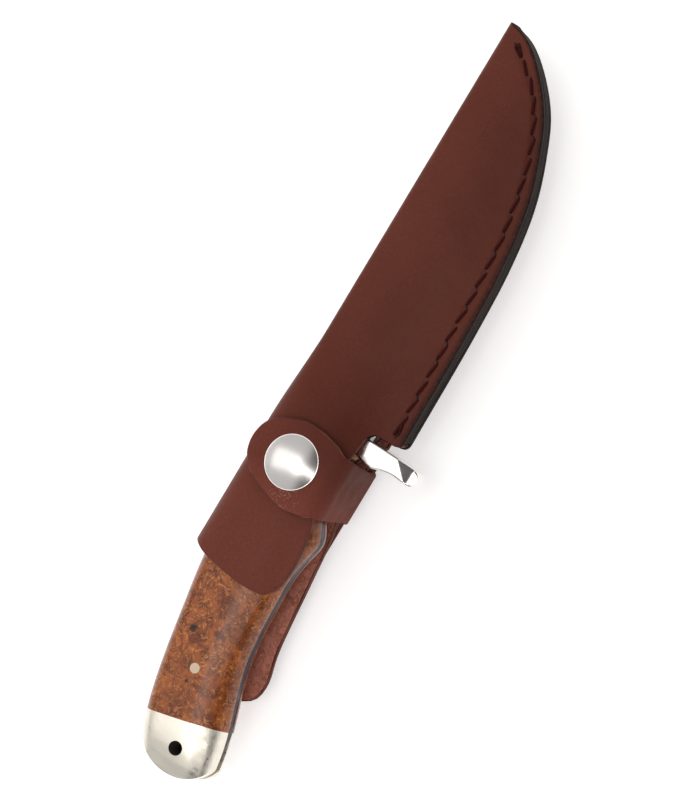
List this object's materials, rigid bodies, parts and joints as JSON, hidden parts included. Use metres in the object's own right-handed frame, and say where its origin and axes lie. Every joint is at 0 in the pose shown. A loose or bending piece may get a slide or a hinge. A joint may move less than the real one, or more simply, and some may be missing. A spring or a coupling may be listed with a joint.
{
  "type": "sheathed fixed blade knife",
  "caption": "Full tang knife with burl wood scales, guard and rounded metal pommel, in a stitched leather sheath closed by a press stud strap.",
  "frame": {"origin": "centre of the object in plan, on the outer face of the belt loop that it lies on", "axes": "+Y from the pommel to the sheath tip, +X from the spine to the cutting edge, +Z from the belt loop to the press stud"},
  "size_m": [0.0444, 0.2192, 0.0366],
  "materials": {
    "blade_steel": "satin ground steel",
    "nickel_silver": "polished nickel silver",
    "burl_wood": "lacquered burl wood",
    "pin_metal": "polished pin",
    "sheath_leather": "smooth dark reddish-brown leather",
    "welt_leather": "edge-painted leather",
    "loop_leather": "smooth leather",
    "strap_leather": "smooth leather",
    "thread": "waxed dark red thread",
    "snap_metal": "plated press stud",
    "spring_steel": "spring wire"
  },
  "bodies": {
    "sheath": {"sheath_leather": "sheath_leather", "welt": "welt_leather", "belt_loop": "loop_leather", "strap_root": "strap_leather", "edge_stitching": "thread", "loop_stitching": "thread", "strap_stitching": "thread", "snap_stud": "snap_metal", "snap_post": "snap_metal"},
    "knife": {"blade": "blade_steel", "guard": "nickel_silver", "scale_front": "burl_wood", "scale_back": "burl_wood", "front_handle_pin": "pin_metal", "rear_handle_pin": "pin_metal", "pommel_front": "nickel_silver", "pommel_back": "nickel_silver", "pommel_pins": "nickel_silver"},
    "strap_side": {"strap_side": "strap_leather"},
    "strap_flap": {"strap_flap": "strap_leather", "snap_cap": "snap_metal", "snap_socket": "snap_metal", "snap_spring": "spring_steel"}
  },
  "joints": [
    {"name": "knife_draw", "type": "slide", "parent": "sheath", "child": "knife", "axis": [0, -1, 0], "range_m": [0, 0.195]},
    {"name": "strap_root_bend", "type": "hinge", "parent": "sheath", "child": "strap_side", "pos_m": [0.0062, -0.0212, 0.0058], "axis": [0, 1, 0], "range_deg": [0, 90]},
    {"name": "strap_front_bend", "type": "hinge", "parent": "strap_side", "child": "strap_flap", "pos_m": [0.0062, -0.0212, 0.033], "axis": [0, 1, 0], "range_deg": [0, 90]}
  ]
}
